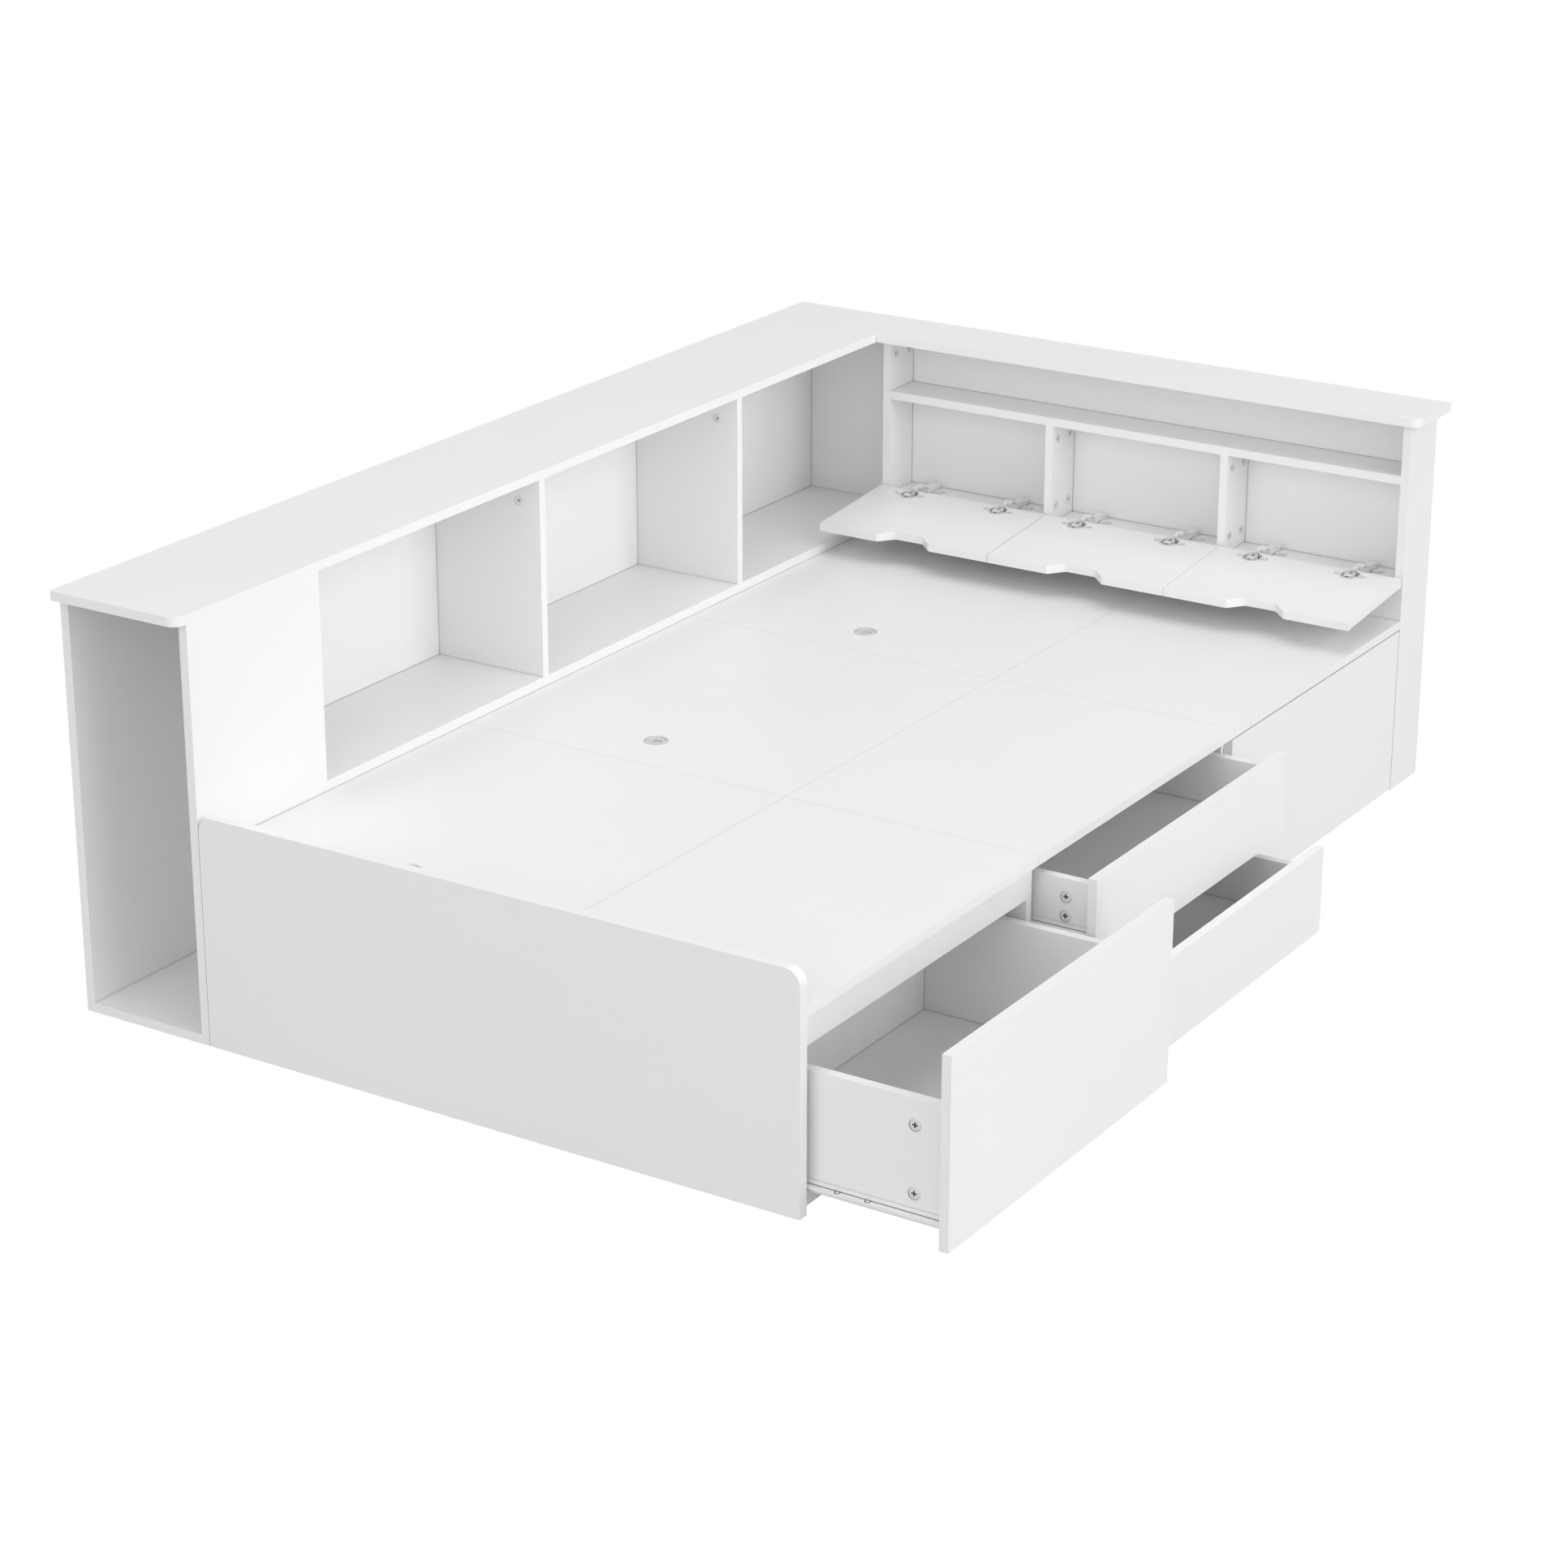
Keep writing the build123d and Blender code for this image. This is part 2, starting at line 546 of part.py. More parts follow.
for name, bay, box_z, front_z, bay_number, opening in DRAWERS:
    x_box = (drawer_x[0] + opening, drawer_x[1] + opening)
    side_spans = [from_wall(bay, side, SLIDE_SPACE, SLIDE_SPACE + BOARD) for side in (0, 1)]
    between = (side_spans[0][1] + FIT_GAP, side_spans[1][0] - FIT_GAP)

    with BuildPart() as drawer_front:
        front_y = (front_seams[bay_number] + SEAM / 2, front_seams[bay_number + 1] - SEAM / 2)
        board((x_box[1], x_box[1] + BOARD), front_y, front_z)
    save(drawer_front, f"drawer_{name}_front")

    with BuildPart() as drawer_box:
        for span in side_spans:
            board(x_box, span, box_z)
        board((x_box[0], x_box[0] + BOARD), between, box_z)
    save(drawer_box, f"drawer_{name}_box")

    with BuildPart() as drawer_bottom:
        board((x_box[0] + BOARD, x_box[1]), between, (box_z[0], box_z[0] + THIN))
    save(drawer_bottom, f"drawer_{name}_bottom")

    with BuildPart() as drawer_slides:
        under = box_z[0] - RAIL_T
        for side in (0, 1):
            board(x_box, from_wall(bay, side, SLIDE_SPACE - RAIL_T, SLIDE_SPACE),
                  (under, box_z[0] + LEG_TOP))
            board(x_box, from_wall(bay, side, SLIDE_SPACE, SLIDE_SPACE + RAIL_FOOT),
                  (under, box_z[0]))
            ledge_x = (x_box[0] + 2 * ROLLER_R + 12, x_box[1])
            ledge_top = box_z[0] + LEDGE_TOP
            board(ledge_x, from_wall(bay, side, LEDGE_REACH, SLIDE_SPACE - RAIL_T),
                  (ledge_top - RAIL_T, ledge_top))
            board(ledge_x, from_wall(bay, side, LEDGE_REACH, LEDGE_REACH + WEB_T),
                  (ledge_top - LEDGE_LIP, ledge_top))
            roller_z = box_z[0] + CHANNEL[0] + WEB_T + ROLLER_PLAY + ROLLER_R
            roller(bay, side, REAR_ROLLER_X + opening, roller_z)
            disc(facing_foot(from_wall(bay, side, ROLLER_SPAN[0], SLIDE_SPACE)[1]),
                 (REAR_ROLLER_X + opening, roller_z), AXLE_R, SLIDE_SPACE - ROLLER_SPAN[0])
    save(drawer_slides, f"drawer_{name}_slides")

# ==== cam locks on the fixed boards ============================================================
side_cams = [(-42, 631, y) for y in (*SIDE_DIVIDER_Y, OVERALL_L - BOARD)]
head_cams = [(BOARD, y, 643) for y in (1973, 2020)]
for count in (1, 2):
    face_x = count * FLAP_PITCH + BOARD / 2
    head_cams += [(face_x, y, z) for y in (1971, 2017) for z in (533.5, 408)]
with BuildPart() as cam_locks:
    for x, z, face_y in side_cams:
        disc(facing_foot(face_y), (x, z), CAM_R, CAM_T)
    for face_x, y, z in head_cams:
        disc(facing_side(face_x), (y, z), CAM_R, CAM_T)
save(cam_locks, "cam_locks")
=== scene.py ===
import json
import math

import bmesh
import bpy
from mathutils import Matrix, Vector


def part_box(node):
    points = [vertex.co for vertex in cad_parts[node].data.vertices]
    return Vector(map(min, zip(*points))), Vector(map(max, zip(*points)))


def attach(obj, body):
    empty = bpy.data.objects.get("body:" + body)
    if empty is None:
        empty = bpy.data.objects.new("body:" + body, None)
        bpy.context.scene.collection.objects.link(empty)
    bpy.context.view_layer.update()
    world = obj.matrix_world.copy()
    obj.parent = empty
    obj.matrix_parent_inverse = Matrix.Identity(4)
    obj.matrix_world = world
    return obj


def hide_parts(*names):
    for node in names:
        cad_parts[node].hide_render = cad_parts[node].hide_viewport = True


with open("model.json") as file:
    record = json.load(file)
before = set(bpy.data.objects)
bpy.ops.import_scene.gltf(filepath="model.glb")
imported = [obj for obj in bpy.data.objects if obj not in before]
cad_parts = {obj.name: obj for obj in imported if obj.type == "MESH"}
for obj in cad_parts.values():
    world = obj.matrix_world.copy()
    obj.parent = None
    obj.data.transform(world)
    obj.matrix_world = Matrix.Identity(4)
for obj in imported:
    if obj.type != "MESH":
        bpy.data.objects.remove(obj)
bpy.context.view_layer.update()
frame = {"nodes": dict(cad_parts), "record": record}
scene = bpy.context.scene

MM = 0.001

# ---- camera, seen from the foot of the bed on its drawer side ----------------------------------
CAMERA_PLACE = Vector((3.1028, -5.0800, 2.4905))
CAMERA_AZIMUTH = math.radians(32.547)
CAMERA_ELEVATION = math.radians(21.034)
CAMERA_ROLL = math.radians(0.049)
CAMERA_LENS = 89.6
SENSOR = 36.0
CLIP_END = 100.0

# ---- light ---------------------------------------------------------------------------------------
SKY = 0.60                  # radiance of the studio dome
SKY_BAND = 0.12             # and of the dark band round it, which bright metal mirrors
BAND_HEIGHT = (0.60, 0.70)  # that band's place, as the sine of its elevation
FLOOR_GLOW = 0.33           # what the floor throws back on the bed
FLOOR_COLOUR = (0.17, 0.17, 0.17)
FLOOR_Z = -0.0005
FLOOR_SIZE = 60.0
LIGHT_REACH = 9.0           # from the bed to each softbox
LIGHT_SIZE = 7.0
LIGHT_TARGET = Vector((0, 0, 0.3))
SOFTBOXES = (               # name, direction from the bed, watts
    ("drawer_side_softbox", (0.94, 0, 0.34), 362),
    ("corner_softbox", (0.66, -0.66, 0.36), 79),
    ("foot_softbox", (0, -0.94, 0.34), 178),
    ("top_softbox", (0, 0, 1), 212),
)


def make_camera():
    data = bpy.data.cameras.new("camera")
    data.lens = CAMERA_LENS
    data.sensor_width = SENSOR
    data.clip_end = CLIP_END
    camera = bpy.data.objects.new("camera", data)
    back = Vector((
        math.sin(CAMERA_AZIMUTH) * math.cos(CAMERA_ELEVATION),
        -math.cos(CAMERA_AZIMUTH) * math.cos(CAMERA_ELEVATION),
        math.sin(CAMERA_ELEVATION),
    ))
    right = Vector((math.cos(CAMERA_AZIMUTH), math.sin(CAMERA_AZIMUTH), 0))
    up = back.cross(right)
    turned_right = right * math.cos(CAMERA_ROLL) + up * math.sin(CAMERA_ROLL)
    turned_up = up * math.cos(CAMERA_ROLL) - right * math.sin(CAMERA_ROLL)
    turn = Matrix((turned_right, turned_up, back)).transposed()
    camera.matrix_world = Matrix.Translation(CAMERA_PLACE) @ turn.to_4x4()
    scene.collection.objects.link(camera)
    scene.camera = camera


def softbox(name, direction, power):
    data = bpy.data.lights.new(name, "AREA")
    data.shape = "SQUARE"
    data.size = LIGHT_SIZE
    data.energy = power
    light = bpy.data.objects.new(name, data)
    light.location = Vector(direction) * LIGHT_REACH + LIGHT_TARGET
    light.rotation_mode = "QUATERNION"
    light.rotation_quaternion = (-Vector(direction)).to_track_quat("-Z", "Y")
    light.visible_camera = False
    scene.collection.objects.link(light)


# ---- surface detail, painted edge highlight and painted joint shade ------------------------------
EDGE_WEAR_AND_HIGHLIGHT_R = 0.0008            # paler edges: edge wear, and a painted highlight along them
EDGE_WEAR_AND_HIGHLIGHT_COLOUR = (0.93, 0.93, 0.93)
EDGE_COSINES = (0.80, 0.985)    # between rounded and flat normal, on an edge and on a flat
EDGE_SAMPLES = 4
JOINT_SHADE_REACH = 0.0028            # how far the painted shade of a joint or inside corner reaches along the boards
METAL_JOINT_SHADE_REACH = 0.0020      # and round the small metal pieces
JOINT_SHADE_OPENNESS = (0.25, 0.95)   # where the painted shade of a joint is darkest, and where it ends
JOINT_SHADE_SAMPLES = 6
CLOUD_SCALE = 2.2               # faint cloudiness of the boards
SMEAR_SCALE = 9.0               # uneven gloss of the boards
STAIN_SCALE = 60.0              # uneven colour and gloss of the metal
SCRATCH_SCALE = 900.0
BOARD_SPECULAR = 0.42


# ---- node helpers ----------------------------------------------------------------------------------
class Nodes:
    """A material under construction, with its shader and output made."""

    def __init__(self, name):
        self.material = bpy.data.materials.new(name)
        self.material.use_nodes = True
        self.tree = self.material.node_tree
        self.tree.nodes.clear()
        self.shader = self.add("ShaderNodeBsdfPrincipled")
        output = self.add("ShaderNodeOutputMaterial")
        self.link(self.shader.outputs["BSDF"], output.inputs["Surface"])

    def add(self, kind, **values):
        node = self.tree.nodes.new(kind)
        for name, value in values.items():
            setattr(node, name, value)
        return node

    def link(self, output, socket):
        self.tree.links.new(output, socket)

    def coordinates(self, scale=(1, 1, 1)):
        place = self.add("ShaderNodeTexCoord").outputs["Object"]
        mapping = self.add("ShaderNodeMapping")
        mapping.inputs["Scale"].default_value = scale
        self.link(place, mapping.inputs["Vector"])
        return mapping.outputs["Vector"]

    def noise(self, vector, scale, detail=2.0, roughness=0.5):
        node = self.add("ShaderNodeTexNoise")
        node.inputs["Scale"].default_value = scale
        node.inputs["Detail"].default_value = detail
        node.inputs["Roughness"].default_value = roughness
        self.link(vector, node.inputs["Vector"])
        return node.outputs["Fac"]

    def span(self, value, low, high, to_low, to_high):
        node = self.add("ShaderNodeMapRange")
        limits = {"From Min": low, "From Max": high, "To Min": to_low, "To Max": to_high}
        for socket, number in limits.items():
            node.inputs[socket].default_value = number
        self.link(value, node.inputs["Value"])
        return node.outputs["Result"]

    def mix_colour(self, factor, first, second):
        node = self.add("ShaderNodeMix", data_type="RGBA")
        self.link(factor, node.inputs["Factor"])
        for index, value in ((6, first), (7, second)):
            if isinstance(value, bpy.types.NodeSocket):
                self.link(value, node.inputs[index])
            else:
                node.inputs[index].default_value = (*value, 1)
        return node.outputs[2]

    def bump(self, height, strength, distance):
        node = self.add("ShaderNodeBump")
        node.inputs["Strength"].default_value = strength
        node.inputs["Distance"].default_value = distance
        self.link(height, node.inputs["Height"])
        return node.outputs["Normal"]

    def painted_joint_shade(self, reach, depth):
        """Painted shade: 1 in the open and down to depth beside another surface, a fine dark line
        painted into joints and inside corners.
        """
        shade = self.add("ShaderNodeAmbientOcclusion", samples=JOINT_SHADE_SAMPLES)
        shade.inputs["Distance"].default_value = reach
        return self.span(shade.outputs["AO"], *JOINT_SHADE_OPENNESS, depth, 1.0)

    def scaled_colour(self, colour, factor):
        node = self.add("ShaderNodeVectorMath", operation="SCALE")
        self.link(colour, node.inputs[0])
        self.link(factor, node.inputs["Scale"])
        return node.outputs["Vector"]

    def edge_wear_and_highlight(self, radius, on_edge, on_flat):
        """1 on the edges and 0 on the flats, from the cosine between two normals."""
        bevel = self.add("ShaderNodeBevel", samples=EDGE_SAMPLES)
        bevel.inputs["Radius"].default_value = radius
        geometry = self.add("ShaderNodeNewGeometry")
        compare = self.add("ShaderNodeVectorMath", operation="DOT_PRODUCT")
        self.link(bevel.outputs["Normal"], compare.inputs[0])
        self.link(geometry.outputs["Normal"], compare.inputs[1])
        return self.span(compare.outputs["Value"], on_flat, on_edge, 0.0, 1.0)


def laminate(name, colour, shade, roughness, grain, joint_shade):
    """White laminate or paint: fine pebbled texture, faint cloudiness, paler edges for edge wear and as
    a painted highlight, and painted shade in joints and corners.
    """
    nodes = Nodes(name)
    place = nodes.coordinates()
    cloud = nodes.noise(place, CLOUD_SCALE, 3.0)
    tint = nodes.span(cloud, 0.35, 0.65, 0.0, 1.0)
    # paler edges: edge wear and a painted highlight along them
    edge_wear_and_highlight_mask = nodes.edge_wear_and_highlight(EDGE_WEAR_AND_HIGHLIGHT_R, *EDGE_COSINES)
    faces = nodes.mix_colour(tint, colour, shade)
    worn_and_highlit = nodes.mix_colour(edge_wear_and_highlight_mask, faces, EDGE_WEAR_AND_HIGHLIGHT_COLOUR)
    # painted shade darkens the colour in joints and inside corners
    joint_shaded = nodes.scaled_colour(worn_and_highlit, nodes.painted_joint_shade(JOINT_SHADE_REACH, joint_shade))
    nodes.link(joint_shaded, nodes.shader.inputs["Base Color"])
    pebble = nodes.noise(place, grain, 2.0, 0.55)
    smear = nodes.noise(place, SMEAR_SCALE, 4.0, 0.6)
    nodes.link(nodes.span(smear, 0.3, 0.7, roughness - 0.05, roughness + 0.06),
               nodes.shader.inputs["Roughness"])
    nodes.link(nodes.bump(pebble, strength=0.12, distance=0.0002), nodes.shader.inputs["Normal"])
    nodes.shader.inputs["Specular IOR Level"].default_value = BOARD_SPECULAR
    return nodes.material


def plated_metal(name, colour, shade, roughness, brush, metallic, joint_shade=1.0):
    """Plated steel: faint brushing, small stains, slightly uneven gloss and painted shade as dark lines
    in joints and corners.
    """
    nodes = Nodes(name)
    place = nodes.coordinates((1, 1, brush))
    stain = nodes.noise(place, STAIN_SCALE, 4.0, 0.6)
    stained = nodes.mix_colour(nodes.span(stain, 0.4, 0.7, 0.0, 1.0), colour, shade)
    # painted shade darkens the colour in joints and inside corners
    joint_shaded = nodes.scaled_colour(stained, nodes.painted_joint_shade(METAL_JOINT_SHADE_REACH, joint_shade))
    nodes.link(joint_shaded, nodes.shader.inputs["Base Color"])
    nodes.link(nodes.span(stain, 0.3, 0.7, roughness - 0.04, roughness + 0.08),
               nodes.shader.inputs["Roughness"])
    scratch = nodes.noise(place, SCRATCH_SCALE, 2.0, 0.5)
    nodes.link(nodes.bump(scratch, strength=0.08, distance=0.0001), nodes.shader.inputs["Normal"])
    nodes.shader.inputs["Metallic"].default_value = metallic
    return nodes.material


def softwood(name):
    """Planed pine: growth rings with darker latewood lines, and patches of duller finish."""
    nodes = Nodes(name)
    place = nodes.coordinates((1.2, 1.2, 1.2))
    patches = nodes.noise(place, 3.0, 2.0)
    rings = nodes.add("ShaderNodeTexWave", wave_type="RINGS", rings_direction="Z")
    rings.inputs["Scale"].default_value = 30.0
    rings.inputs["Distortion"].default_value = 6.0
    nodes.link(place, rings.inputs["Vector"])
    colour = nodes.mix_colour(rings.outputs["Fac"], (0.62, 0.46, 0.27), (0.50, 0.33, 0.17))
    nodes.link(colour, nodes.shader.inputs["Base Color"])
    nodes.link(nodes.span(patches, 0.3, 0.7, 0.5, 0.65), nodes.shader.inputs["Roughness"])
    grain = nodes.bump(rings.outputs["Fac"], strength=0.15, distance=0.0003)
    nodes.link(grain, nodes.shader.inputs["Normal"])
    return nodes.material


def floor_paint(name, colour, glow):
    """A matt sheet that also gives off an even glow."""
    nodes = Nodes(name)
    nodes.shader.inputs["Base Color"].default_value = (*colour, 1)
    nodes.shader.inputs["Roughness"].default_value = 1.0
    nodes.shader.inputs["Specular IOR Level"].default_value = 0.0
    nodes.shader.inputs["Emission Color"].default_value = (1, 1, 1, 1)
    nodes.shader.inputs["Emission Strength"].default_value = glow
    return nodes.material


WHITE = (0.88, 0.88, 0.88)
WHITE_SHADE = (0.865, 0.865, 0.867)
PANEL = (0.875, 0.875, 0.875)
PANEL_SHADE = (0.86, 0.86, 0.862)
SLIDE = (0.87, 0.87, 0.87)
SLIDE_SHADE = (0.85, 0.85, 0.85)
NICKEL = (0.95, 0.95, 0.96)
NICKEL_SHADE = (0.88, 0.88, 0.89)
CHROME = (0.96, 0.96, 0.97)
CHROME_SHADE = (0.91, 0.91, 0.92)
ZINC = (0.88, 0.88, 0.88)
ZINC_SHADE = (0.80, 0.80, 0.81)
# painted shade: the greys below stand in for the shade in cam lock pockets and crosses, and along the
# drawer rails
CAM_SHADE_PAINT = (0.40, 0.40, 0.40)
CAM_SHADE_PAINT_MOTTLE = (0.33, 0.33, 0.33)
HOLLOW_SHADE_PAINT = (0.10, 0.10, 0.105)
HOLLOW_SHADE_PAINT_MOTTLE = (0.05, 0.05, 0.05)
# joint: how dark the painted shade in joints and inside corners gets, 1 for none
MATERIALS = {
    "laminated_board": laminate("laminated_board", WHITE, WHITE_SHADE,
                                roughness=0.34, grain=1400.0, joint_shade=0.6),
    "thin_panel": laminate("thin_panel", PANEL, PANEL_SHADE,
                           roughness=0.42, grain=1100.0, joint_shade=0.25),
    "hidden_timber": softwood("hidden_timber"),
    "hinge_metal": plated_metal("hinge_metal", NICKEL, NICKEL_SHADE,
                                roughness=0.14, brush=4.0, metallic=0.5, joint_shade=0.10),
    "slide_metal": laminate("slide_metal", SLIDE, SLIDE_SHADE,
                            roughness=0.30, grain=900.0, joint_shade=0.45),
    "pull_metal": plated_metal("pull_metal", CHROME, CHROME_SHADE,
                               roughness=0.08, brush=1.0, metallic=0.55, joint_shade=0.05),
    "cam_metal": plated_metal("cam_metal", ZINC, ZINC_SHADE,
                              roughness=0.35, brush=1.0, metallic=0.25),
    # painted shade for the hollows of the cam locks and along the drawer rails
    "cam_painted_shade": plated_metal("cam_painted_shade", CAM_SHADE_PAINT, CAM_SHADE_PAINT_MOTTLE,
                              roughness=0.45, brush=1.0, metallic=0.3),
    "recess": plated_metal("recess", HOLLOW_SHADE_PAINT, HOLLOW_SHADE_PAINT_MOTTLE,
                           roughness=0.45, brush=1.0, metallic=0.3),
}
EDGE_ROUND = {"laminated_board": 0.0010, "thin_panel": 0.0004, "hidden_timber": 0.0015,
              "hinge_metal": 0.0003, "slide_metal": 0.0003, "pull_metal": 0.0004, "cam_metal": 0.0002}
EDGE_ROUND_STEPS = 3
SHARP_EDGE = math.radians(40)   # edges that turn by more than this are rounded
DECK_ROUND = 0.0003             # less on the deck, whose boards meet in near-invisible seams
DECK_NODES = ("fixed_deck_panels", "lid_foot", "lid_middle", "lid_head")


def dress(node, slot):
    """Gives a carried-over CAD node the material of its record slot, and rounded edges."""
    body = frame["nodes"][node]
    body.data.materials.clear()
    body.data.materials.append(MATERIALS[slot])
    rounding = body.modifiers.new("rounded_edges", "BEVEL")
    rounding.width = DECK_ROUND if node in DECK_NODES else EDGE_ROUND[slot]
    rounding.segments = EDGE_ROUND_STEPS
    rounding.limit_method = "ANGLE"
    rounding.angle_limit = SHARP_EDGE
    rounding.harden_normals = True
    body.data.shade_smooth()


def floor(name, height, paint):
    half = FLOOR_SIZE / 2
    mesh = bpy.data.meshes.new(name)
    corners = [(x * half, y * half, height) for x, y in ((-1, -1), (1, -1), (1, 1), (-1, 1))]
    mesh.from_pydata(corners, [], [(0, 1, 2, 3)])
    mesh.materials.append(paint)
    plane = bpy.data.objects.new(name, mesh)
    scene.collection.objects.link(plane)
    return plane


def make_floor():
    """Two sheets: a pure white one that is only seen, and a dimmer one that lights the bed."""
    seen = floor("floor_seen", FLOOR_Z, floor_paint("floor_seen", (0, 0, 0), 1.0))
    seen.visible_diffuse = False
    seen.visible_glossy = False
    seen.visible_transmission = False
    seen.visible_shadow = False
    lit = floor("floor_lit", FLOOR_Z * 2, floor_paint("floor_lit", FLOOR_COLOUR, FLOOR_GLOW))
    lit.visible_camera = False


def make_world():
    """An even dome with a dark band round it."""
    world = bpy.data.worlds.new("studio")
    world.use_nodes = True
    tree = world.node_tree
    direction = tree.nodes.new("ShaderNodeTexCoord")
    split = tree.nodes.new("ShaderNodeSeparateXYZ")
    ramp = tree.nodes.new("ShaderNodeValToRGB")
    ramp.color_ramp.interpolation = "EASE"
    stops = ramp.color_ramp.elements
    stops[0].position, stops[1].position = BAND_HEIGHT
    stops.new(sum(BAND_HEIGHT) / 2)
    for stop, value in zip(stops, (SKY, SKY_BAND, SKY)):
        stop.color = (value, value, value, 1)
    tree.links.new(direction.outputs["Generated"], split.inputs["Vector"])
    tree.links.new(split.outputs["Z"], ramp.inputs["Fac"])
    tree.links.new(ramp.outputs["Color"], tree.nodes["Background"].inputs["Color"])
    scene.world = world


# ---- mesh helpers ----------------------------------------------------------------------------------
def facing(place, outward):
    """A matrix whose Z axis points outward from a place on a surface."""
    turn = Vector(outward).to_track_quat("Z", "Y").to_matrix().to_4x4()
    return Matrix.Translation(Vector(place)) @ turn


def ring_of(bm, matrix, outline, height):
    return [bm.verts.new(matrix @ Vector((x, y, height))) for x, y in outline]


def circle(radius, steps):
    turns = [math.tau * step / steps for step in range(steps)]
    return [(radius * math.cos(turn), radius * math.sin(turn)) for turn in turns]


def band(bm, lower, upper, material=0):
    """The strip of faces between two rings of the same number of points."""
    for index in range(len(lower)):
        after = (index + 1) % len(lower)
        face = bm.faces.new((lower[index], lower[after], upper[after], upper[index]))
        face.material_index = material


def cross_outline(reach, half_width):
    """The twelve corners of an upright cross."""
    a, b = reach, half_width
    return [(a, -b), (a, b), (b, b), (b, a), (-b, a), (-b, b),
            (-a, b), (-a, -b), (-b, -b), (-b, -a), (b, -a), (b, -b)]


SMOOTH_LIMIT = math.radians(35)  # edges that turn by more than this are shaded sharp
MERGE_GAP = 1e-5
DISC_STEPS = 32
# A cam lock's radius and height from its rim to its head, as shares of its own.
DISC_PROFILE = ((1.0, 0.0), (1.0, 0.85), (0.98, 1.0), (0.92, 1.0), (0.87, 0.35), (0.62, 0.35))
DISC_HEAD = 0.35                 # height of the sunk head
CROSS_MOUTH = (0.46, 0.15)       # reach and half width of the cross, at the head
CROSS_BOTTOM = (0.42, 0.11)      # and at its bottom
CROSS_FLOOR = 0.1                # height of that bottom
SHADED_POCKET_WALL = 3                  # the strip of the profile that is in shadow, painted dark as shade


def cross_headed_disc(bm, matrix, radius, thickness):
    """A cam lock: a raised lip round a sunk head with a cross in it; the pocket wall and the cross get
    the second material, a painted shade.
    """
    rings = [ring_of(bm, matrix, circle(r * radius, DISC_STEPS), height * thickness)
             for r, height in DISC_PROFILE]
    for index in range(len(rings) - 1):
        band(bm, rings[index], rings[index + 1], 1 if index == SHADED_POCKET_WALL else 0)
    mouth, bottom = (cross_outline(reach * radius, half_width * radius)
                     for reach, half_width in (CROSS_MOUTH, CROSS_BOTTOM))
    outer = ring_of(bm, matrix, mouth, DISC_HEAD * thickness)
    inner = ring_of(bm, matrix, bottom, CROSS_FLOOR * thickness)
    band(bm, inner, outer, 1)
    bm.faces.new(inner).material_index = 1
    loops = [bm.edges.get((ring[i], ring[(i + 1) % len(ring)]))
             for ring in (outer, rings[-1]) for i in range(len(ring))]
    bmesh.ops.triangle_fill(bm, edges=loops, use_beauty=True)


def bar(bm, low, high):
    """A plain rectangular strip between two opposite corners."""
    xs, ys, zs = zip(low, high)
    corners = [bm.verts.new((x, y, z)) for z in zs for y in ys for x in xs]
    for face in ((0, 2, 3, 1), (4, 5, 7, 6), (0, 1, 5, 4), (2, 6, 7, 3), (0, 4, 6, 2), (1, 3, 7, 5)):
        bm.faces.new([corners[index] for index in face])


def piece(name, bm, materials, rides_on):
    bmesh.ops.recalc_face_normals(bm, faces=bm.faces)
    mesh = bpy.data.meshes.new(name)
    bm.to_mesh(mesh)
    bm.free()
    for material in materials:
        mesh.materials.append(material)
    mesh.shade_smooth()
    mesh.set_sharp_from_angle(angle=SMOOTH_LIMIT)
    made = bpy.data.objects.new(name, mesh)
    scene.collection.objects.link(made)
    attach(made, rides_on)
    return made


def islands(node):
    """The low and high corners of each separate solid of a CAD node, in order of place."""
    body = frame["nodes"][node]
    bm = bmesh.new()
    bm.from_mesh(body.data)
    bm.transform(body.matrix_world)
    bmesh.ops.remove_doubles(bm, verts=bm.verts, dist=MERGE_GAP)
    left = set(bm.verts)
    corners = []
    while left:
        grown = [left.pop()]
        group = list(grown)
        while grown:
            for edge in grown.pop().link_edges:
                for vert in edge.verts:
                    if vert in left:
                        left.remove(vert)
                        grown.append(vert)
                        group.append(vert)
        places = [vert.co.copy() for vert in group]
        corners.append(tuple(Vector([pick(place[axis] for place in places) for axis in range(3)])
                             for pick in (min, max)))
    bm.free()
    return sorted(corners, key=lambda pair: tuple(pair[0]))


# ---- fittings --------------------------------------------------------------------------------------
CAM_R = 7.5 * MM
DRAWER_CAM_PROUD = 1.2 * MM
DRAWER_CAM_R = 9.5 * MM
CAM_BEHIND_FRONT = 46 * MM       # along the drawer side, from the front's inner face
CAM_FROM_EDGE = 29 * MM          # from the drawer side's upper and lower edges, on a low drawer
TALL_DRAWER = 0.15               # a drawer side higher than this has its cams further in
TALL_CAM_FROM_EDGE = 40 * MM
SLOT_BEHIND_FRONT = (117 * MM, 166 * MM, 300 * MM)
SLOT_HALF_W = 4.8 * MM
SLOT_DEPTH = 8 * MM
SLOT_RIM = 1.6 * MM
SLOT_STEPS = 16
LEDGE_TOP = 10.5 * MM            # the rail's ledge, above the drawer side's lower edge
LEG_T = 1.5 * MM                 # the rail's leg on the drawer side
LEDGE_SHADE_LINE = 0.7 * MM            # painted shade: a dark line where the ledge meets the leg
LINE_BACK_INSET = 30 * MM        # that line stops short of the drawer's back
LINE_FRONT_INSET = 1 * MM        # and of its front
FLAP_TILT = 5.0                  # degrees that the open flaps hang below level
CHEEK_X = (4.6 * MM, 6.8 * MM)
CHEEK_Y = (-13 * MM, 8 * MM)
CHEEK_Z = (-9 * MM, 2.2 * MM)
CUP_TOP_INSET = 2 * MM           # from the cup's top down to the linkage's own origin
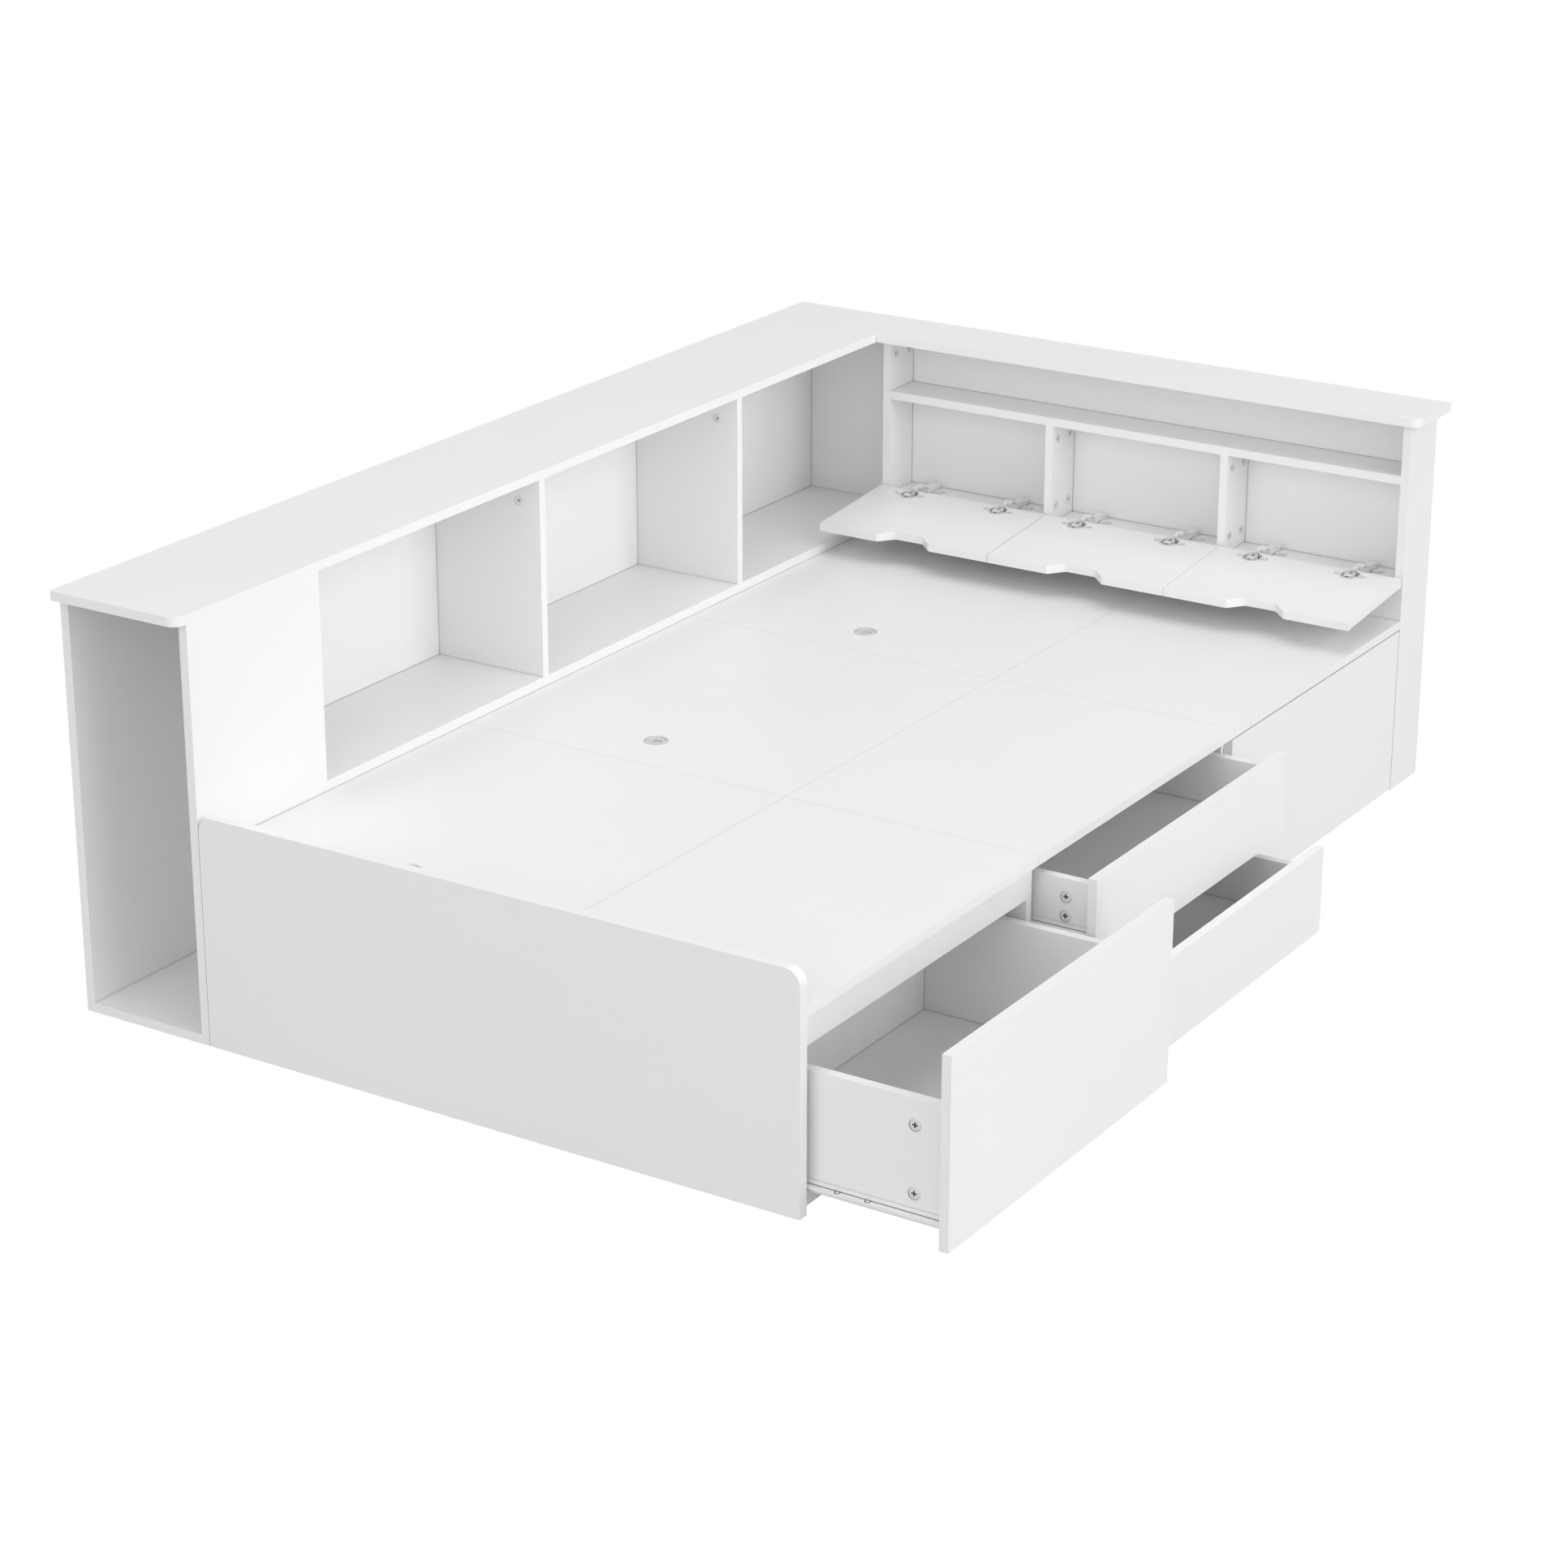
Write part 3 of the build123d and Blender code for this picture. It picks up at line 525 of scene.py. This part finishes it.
BASE_HALF_W = 11 * MM            # the plate under the linkage, inside the cup
BASE_Z = (-4 * MM, -3 * MM)
BASE_END_Y = -1.8 * MM
BRIDGE_Y = -4 * MM
BRIDGE_T = 1 * MM
RIVET_Y = -8 * MM
RIVET_R = 1.6 * MM
RIVET_PROUD = 1 * MM             # out of each cheek
RIVET_STEPS = 16
SKIN = 0.15 * MM                 # how far a flat detail stands off the surface that carries it


def cam_lock_heads():
    bm = bmesh.new()
    for low, high in islands("cam_locks"):
        size = high - low
        middle = (low + high) / 2
        if size.x < size.y:
            matrix = facing((low.x, middle.y, middle.z), (1, 0, 0))
            thickness = size.x
        else:
            matrix = facing((middle.x, high.y, middle.z), (0, -1, 0))
            thickness = size.y
        cross_headed_disc(bm, matrix, CAM_R, thickness)
    # the second material paints shade into the pocket walls and crosses
    heads = piece("cam_lock_heads", bm, [MATERIALS["cam_metal"], MATERIALS["cam_painted_shade"]],
                  "bed_frame")
    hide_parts("cam_locks")


def hinge_links(place):
    """The linkage inside each hinge cup: two cheeks, a base, a bridge and the rivet across them."""
    tilt = math.radians(FLAP_TILT)
    cheeks = bmesh.new()
    for low, high in islands(f"flap_{place}_hinge_cups"):
        middle = (low + high) / 2
        origin = Vector((middle.x, middle.y, high.z - CUP_TOP_INSET))
        turn = Matrix.Translation(origin) @ Matrix.Rotation(tilt, 4, "X")
        start = len(cheeks.verts)
        for side in (-1, 1):
            inner, outer = sorted((side * CHEEK_X[0], side * CHEEK_X[1]))
            bar(cheeks, (inner, CHEEK_Y[0], CHEEK_Z[0]), (outer, CHEEK_Y[1], CHEEK_Z[1]))
        bar(cheeks, (-BASE_HALF_W, CHEEK_Y[0], BASE_Z[0]), (BASE_HALF_W, BASE_END_Y, BASE_Z[1]))
        bridge_low = (-CHEEK_X[0], CHEEK_Y[0], CHEEK_Z[1] - BRIDGE_T)
        bar(cheeks, bridge_low, (CHEEK_X[0], BRIDGE_Y, CHEEK_Z[1]))
        cheeks.verts.ensure_lookup_table()
        bmesh.ops.transform(cheeks, matrix=turn, verts=cheeks.verts[start:])
        rivet_start = Matrix.Translation((-CHEEK_X[1] - RIVET_PROUD, RIVET_Y, 0))
        rivet = turn @ rivet_start @ Matrix.Rotation(math.tau / 4, 4, "Y")
        ends = [ring_of(cheeks, rivet, circle(RIVET_R, RIVET_STEPS), height)
                for height in (0, 2 * (CHEEK_X[1] + RIVET_PROUD))]
        band(cheeks, *ends)
        cheeks.faces.new(ends[0])
        cheeks.faces.new(ends[1])
    piece(f"flap_{place}_hinge_links", cheeks, [MATERIALS["hinge_metal"]],
          f"flap_{place}")


def drawer_cams(name, low, high, front_x):
    """The cam locks that hold the front, an upper and a lower one on each side."""
    inset = TALL_CAM_FROM_EDGE if high.z - low.z > TALL_DRAWER else CAM_FROM_EDGE
    cams = bmesh.new()
    for y, outward in ((low.y, -1), (high.y, 1)):
        for z in (low.z + inset, high.z - inset):
            matrix = facing((front_x - CAM_BEHIND_FRONT, y, z), (0, outward, 0))
            cross_headed_disc(cams, matrix, DRAWER_CAM_R, DRAWER_CAM_PROUD)
    # the second material paints shade into the pocket walls and crosses
    piece(f"drawer_{name}_cams", cams, [MATERIALS["cam_metal"], MATERIALS["recess"]],
          f"drawer_{name}")


def half_ring_shade(bm, centre, outward):
    """Painted shade: a dark rim round a half-round slot in the ledge, which runs out from the drawer
    side.
    """
    arcs = []
    for rim in (0.0, SLOT_RIM):
        arc = []
        for step in range(SLOT_STEPS + 1):
            turn = math.pi * step / SLOT_STEPS
            along = math.cos(turn) * (SLOT_HALF_W - rim)
            out = math.sin(turn) * (SLOT_DEPTH - rim) * outward
            arc.append(bm.verts.new(centre + Vector((along, out, SKIN))))
        arcs.append(arc)
    outer, inner = arcs
    for step in range(SLOT_STEPS):
        bm.faces.new((outer[step], outer[step + 1], inner[step + 1], inner[step]))


def drawer_rail_shade_strips(name, low, high, front_x):
    """Painted shade: a dark line along each rail's ledge, and dark rims round the slots in it."""
    shade_marks = bmesh.new()
    ledge = low.z + LEDGE_TOP
    for y, outward in ((low.y, -1), (high.y, 1)):
        leg_face = y + outward * LEG_T
        spread = sorted((leg_face, leg_face + outward * SKIN))
        bar(shade_marks, (low.x + LINE_BACK_INSET, spread[0], ledge),
            (front_x - LINE_FRONT_INSET, spread[1], ledge + LEDGE_SHADE_LINE))
        for behind in SLOT_BEHIND_FRONT:
            half_ring_shade(shade_marks, Vector((front_x - behind, leg_face, ledge)), outward)
    piece(f"drawer_{name}_rail_painted_shade", shade_marks, [MATERIALS["recess"]], f"drawer_{name}")


def drawer_fittings(name):
    low, high = (Vector(corner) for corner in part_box(f"drawer_{name}_box"))
    front_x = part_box(f"drawer_{name}_front")[0][0]
    drawer_cams(name, low, high, front_x)
    drawer_rail_shade_strips(name, low, high, front_x)


scene.view_settings.view_transform = "Standard"
make_camera()
make_floor()
make_world()
for light_name, light_direction, watts in SOFTBOXES:
    softbox(light_name, light_direction, watts)
for entry in frame["record"]["subparts"]:
    dress(entry["node"], entry["material_slot"])
cam_lock_heads()
for drawer in ("foot", "mid_upper", "mid_lower", "head"):
    drawer_fittings(drawer)
for flap in ("left", "middle", "right"):
    hinge_links(flap)
